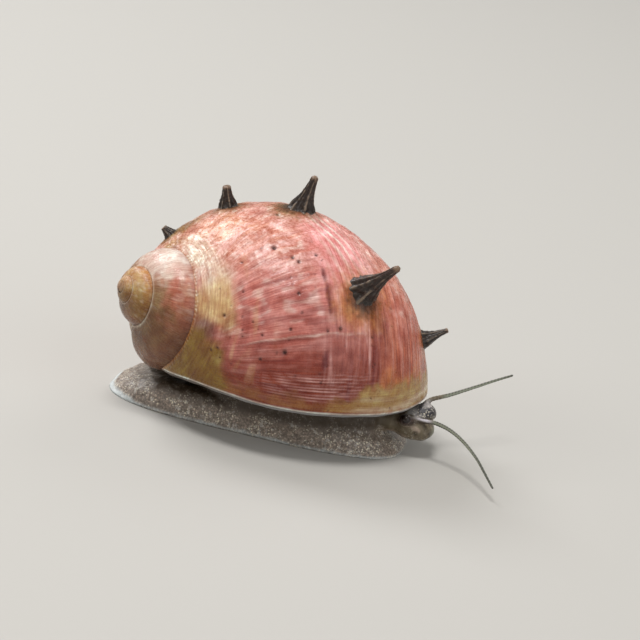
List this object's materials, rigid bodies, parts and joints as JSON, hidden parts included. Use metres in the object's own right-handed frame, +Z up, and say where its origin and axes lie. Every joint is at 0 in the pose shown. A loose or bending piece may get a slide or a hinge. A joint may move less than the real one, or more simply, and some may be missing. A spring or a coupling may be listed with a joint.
{
  "type": "horned nerite snail",
  "caption": "Crawling horned nerite snail: coiled shell with short horns, oval foot, head with eyes and two long feelers.",
  "frame": {"origin": "centre of the sole, on the floor", "axes": "+X forward to the head, +Y to the snail's left, +Z up"},
  "size_m": [0.024, 0.013, 0.0144],
  "materials": {
    "shell": "satin",
    "spire": "satin",
    "foot": "wet",
    "operculum": "satin",
    "head": "wet",
    "eye": "gloss"
  },
  "bodies": {
    "root": {"shell_body_whorl": "shell", "shell_spire": "spire", "foot": "foot", "body_column": "foot", "operculum": "operculum", "head": "head", "tentacle_right_root": "head", "tentacle_right_tip": "head", "tentacle_left_root": "head", "tentacle_left_tip": "head", "eye_right": "eye", "eye_left": "eye"}
  },
  "joints": []
}
